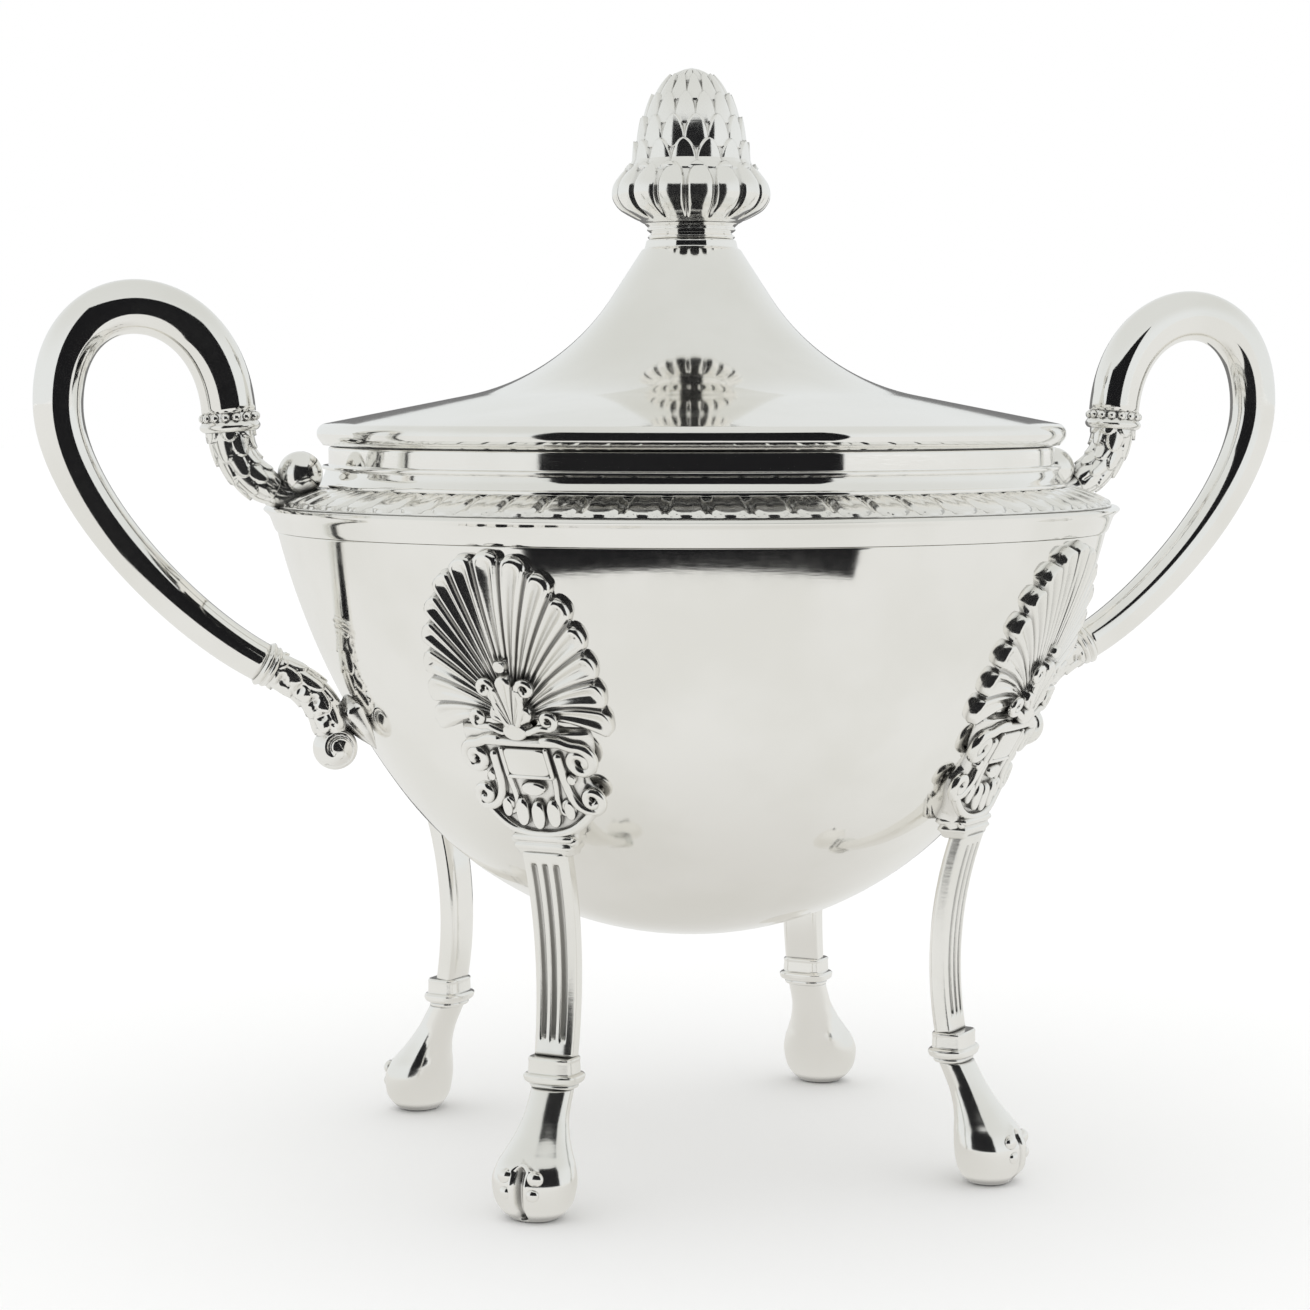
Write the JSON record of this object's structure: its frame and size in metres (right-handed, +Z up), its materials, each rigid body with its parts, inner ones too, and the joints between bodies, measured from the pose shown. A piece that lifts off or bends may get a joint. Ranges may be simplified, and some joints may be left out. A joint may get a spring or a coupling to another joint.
{
  "type": "sugar bowl",
  "caption": "Footed silver sugar bowl with looped handles, hoofed legs under palmette plaques and a lift-off lid with a pine cone knop.",
  "frame": {"origin": "on the table, under the bowl's axis", "axes": "+X towards the right handle, +Y away from the front, +Z up along the bowl's axis"},
  "size_m": [0.1708, 0.112, 0.1426],
  "materials": {
    "polished_silver": "hand-polished silver, faint scratches",
    "chased_silver": "cast and chased silver, darker in its hollows",
    "inner_silver": "satin silver, not polished"
  },
  "bodies": {
    "body": {"bowl": "polished_silver", "rim_bead": "polished_silver", "leaf_band": "chased_silver", "mouth_collar": "polished_silver", "palmette_front_left": "chased_silver", "shank_front_left": "chased_silver", "ankle_front_left": "chased_silver", "hoof_front_left": "chased_silver", "palmette_front_right": "chased_silver", "shank_front_right": "chased_silver", "ankle_front_right": "chased_silver", "hoof_front_right": "chased_silver", "palmette_back_left": "chased_silver", "shank_back_left": "chased_silver", "ankle_back_left": "chased_silver", "hoof_back_left": "chased_silver", "palmette_back_right": "chased_silver", "shank_back_right": "chased_silver", "ankle_back_right": "chased_silver", "hoof_back_right": "chased_silver", "handle_left": "polished_silver", "upper_collar_left": "chased_silver", "upper_leaf_left": "chased_silver", "upper_ball_left": "chased_silver", "lower_collar_left": "chased_silver", "lower_leaf_left": "chased_silver", "lower_ball_left": "chased_silver", "handle_right": "polished_silver", "upper_collar_right": "chased_silver", "upper_leaf_right": "chased_silver", "upper_ball_right": "chased_silver", "lower_collar_right": "chased_silver", "lower_leaf_right": "chased_silver", "lower_ball_right": "chased_silver"},
    "lid": {"lid_shell": "polished_silver", "lid_bezel": "inner_silver", "knop_collar": "chased_silver", "pinecone_knop": "chased_silver", "knop_screw": "inner_silver", "knop_washer": "inner_silver", "knop_nut": "inner_silver"}
  },
  "joints": [
    {"name": "lid_lift", "type": "slide", "parent": "body", "child": "lid", "axis": [0, 0, 1], "range_m": [0, 0.08]}
  ]
}
